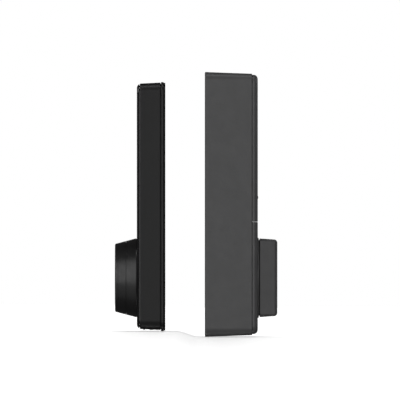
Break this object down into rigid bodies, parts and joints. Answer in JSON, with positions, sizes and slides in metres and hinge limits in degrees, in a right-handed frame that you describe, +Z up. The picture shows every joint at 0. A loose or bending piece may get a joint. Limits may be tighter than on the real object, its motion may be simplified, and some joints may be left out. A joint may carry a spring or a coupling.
{
  "type": "keypad smart lock",
  "caption": "Deadbolt lock in two units: an outdoor keypad with a tapered key-cylinder collar, and an indoor motor unit with a battery cover and a bar thumbturn.",
  "frame": {"origin": "on the turning axis of the cylinder and thumbturn, halfway through the door leaf", "axes": "+Z up, -Y out of the keypad, +Y out of the thumbturn, +X to the right as the keypad is seen"},
  "size_m": [0.074, 0.1056, 0.1717],
  "materials": {
    "exterior_metal": "satin black powder coat",
    "panel_gloss": "glossy black",
    "key_plastic": "matte black",
    "soft_rubber": "matte black rubber",
    "interior_metal": "satin dark grey",
    "interior_plastic": "satin dark grey",
    "black_plastic": "matte black",
    "steel": "plain steel",
    "brass": "turned brass",
    "nylon": "natural nylon",
    "circuit_board": "green solder mask",
    "battery_sleeve": "printed film sleeve, plain",
    "light_lens": "translucent"
  },
  "bodies": {
    "lock_case": {"exterior_housing": "exterior_metal", "cylinder_guard": "exterior_metal", "cylinder_barrel": "exterior_metal", "exterior_front_panel": "panel_gloss", "fingerprint_sensor": "panel_gloss", "exterior_gasket": "soft_rubber", "keypad_membrane": "soft_rubber", "interior_housing": "interior_metal", "lower_cover": "interior_plastic", "thumbturn_rose": "interior_plastic", "battery_tray": "black_plastic", "gearbox_plate": "black_plastic", "buzzer": "black_plastic", "exterior_back_plate": "steel", "mounting_plate": "steel", "back_plate_screw_top": "steel", "back_plate_screw_left": "steel", "back_plate_screw_right": "steel", "housing_screw_left": "steel", "housing_screw_right": "steel", "fingerprint_ring": "steel", "power_socket": "steel", "motor": "steel", "idler_axle": "steel", "battery_contact_lower": "steel", "battery_contact_upper": "steel", "shaft_bush": "nylon", "cable_socket": "nylon", "keypad_circuit_board": "circuit_board", "main_circuit_board": "circuit_board", "battery_1": "battery_sleeve", "battery_2": "battery_sleeve", "battery_3": "battery_sleeve", "battery_4": "battery_sleeve", "status_light": "light_lens"},
    "key_1": {"key_1": "key_plastic"},
    "key_2": {"key_2": "key_plastic"},
    "key_3": {"key_3": "key_plastic"},
    "key_4": {"key_4": "key_plastic"},
    "key_5": {"key_5": "key_plastic"},
    "key_6": {"key_6": "key_plastic"},
    "key_7": {"key_7": "key_plastic"},
    "key_8": {"key_8": "key_plastic"},
    "key_9": {"key_9": "key_plastic"},
    "key_clear": {"key_clear": "key_plastic"},
    "key_0": {"key_0": "key_plastic"},
    "key_enter": {"key_enter": "key_plastic"},
    "spin_ring": {"cylinder_spin_ring": "exterior_metal"},
    "plug_body": {"key_plug": "steel", "plug_clip": "steel", "tail_driver": "brass"},
    "port_flap": {"port_cover": "soft_rubber"},
    "turn_body": {"thumbturn": "interior_plastic", "thumbturn_clip": "steel", "spindle_gear": "nylon"},
    "idler_body": {"idler_gear": "nylon"},
    "motor_rotor": {"motor_pinion": "brass"},
    "battery_lid": {"battery_cover": "interior_plastic"},
    "latch_bar": {"cover_latch": "black_plastic"},
    "settings_key": {"settings_button": "soft_rubber"}
  },
  "joints": [
    {"name": "key_1_press", "type": "slide", "parent": "lock_case", "child": "key_1", "axis": [0, 1, 0], "range_m": [0, 0.0008], "stiffness_N_per_m": 400},
    {"name": "key_2_press", "type": "slide", "parent": "lock_case", "child": "key_2", "axis": [0, 1, 0], "range_m": [0, 0.0008], "stiffness_N_per_m": 400},
    {"name": "key_3_press", "type": "slide", "parent": "lock_case", "child": "key_3", "axis": [0, 1, 0], "range_m": [0, 0.0008], "stiffness_N_per_m": 400},
    {"name": "key_4_press", "type": "slide", "parent": "lock_case", "child": "key_4", "axis": [0, 1, 0], "range_m": [0, 0.0008], "stiffness_N_per_m": 400},
    {"name": "key_5_press", "type": "slide", "parent": "lock_case", "child": "key_5", "axis": [0, 1, 0], "range_m": [0, 0.0008], "stiffness_N_per_m": 400},
    {"name": "key_6_press", "type": "slide", "parent": "lock_case", "child": "key_6", "axis": [0, 1, 0], "range_m": [0, 0.0008], "stiffness_N_per_m": 400},
    {"name": "key_7_press", "type": "slide", "parent": "lock_case", "child": "key_7", "axis": [0, 1, 0], "range_m": [0, 0.0008], "stiffness_N_per_m": 400},
    {"name": "key_8_press", "type": "slide", "parent": "lock_case", "child": "key_8", "axis": [0, 1, 0], "range_m": [0, 0.0008], "stiffness_N_per_m": 400},
    {"name": "key_9_press", "type": "slide", "parent": "lock_case", "child": "key_9", "axis": [0, 1, 0], "range_m": [0, 0.0008], "stiffness_N_per_m": 400},
    {"name": "key_clear_press", "type": "slide", "parent": "lock_case", "child": "key_clear", "axis": [0, 1, 0], "range_m": [0, 0.0008], "stiffness_N_per_m": 400},
    {"name": "key_0_press", "type": "slide", "parent": "lock_case", "child": "key_0", "axis": [0, 1, 0], "range_m": [0, 0.0008], "stiffness_N_per_m": 400},
    {"name": "key_enter_press", "type": "slide", "parent": "lock_case", "child": "key_enter", "axis": [0, 1, 0], "range_m": [0, 0.0008], "stiffness_N_per_m": 400},
    {"name": "ring_spin", "type": "hinge", "parent": "lock_case", "child": "spin_ring", "pos_m": [0, -0.042, 0], "axis": [0, 1, 0], "continuous": true},
    {"name": "key_turn", "type": "hinge", "parent": "lock_case", "child": "plug_body", "pos_m": [0, -0.03, 0], "axis": [0, 1, 0], "range_deg": [-90, 90]},
    {"name": "port_cover_hinge", "type": "hinge", "parent": "lock_case", "child": "port_flap", "pos_m": [0, -0.0173, -0.0334], "axis": [1, 0, 0], "range_deg": [0, 85]},
    {"name": "thumbturn_turn", "type": "hinge", "parent": "lock_case", "child": "turn_body", "pos_m": [0, 0.045, 0], "axis": [0, 1, 0], "range_deg": [-90, 90]},
    {"name": "idler_spin", "type": "hinge", "parent": "lock_case", "child": "idler_body", "pos_m": [-0.012, 0.02, -0.02078], "axis": [0, 1, 0], "range_deg": [-270, 270]},
    {"name": "motor_spin", "type": "hinge", "parent": "lock_case", "child": "motor_rotor", "pos_m": [0.00533, 0.023, -0.02384], "axis": [0, 1, 0], "range_deg": [-720, 720]},
    {"name": "battery_cover_slide", "type": "slide", "parent": "lock_case", "child": "battery_lid", "axis": [0, 0, 1], "range_m": [0, 0.1]},
    {"name": "latch_press", "type": "slide", "parent": "battery_lid", "child": "latch_bar", "axis": [0, -1, 0], "range_m": [0, 0.001], "stiffness_N_per_m": 500},
    {"name": "settings_press", "type": "slide", "parent": "lock_case", "child": "settings_key", "axis": [0, -1, 0], "range_m": [0, 0.0005], "stiffness_N_per_m": 400}
  ],
  "couplings": [
    {"joint": "idler_spin", "follows": "thumbturn_turn", "ratio": -3},
    {"joint": "motor_spin", "follows": "thumbturn_turn", "ratio": 8}
  ]
}
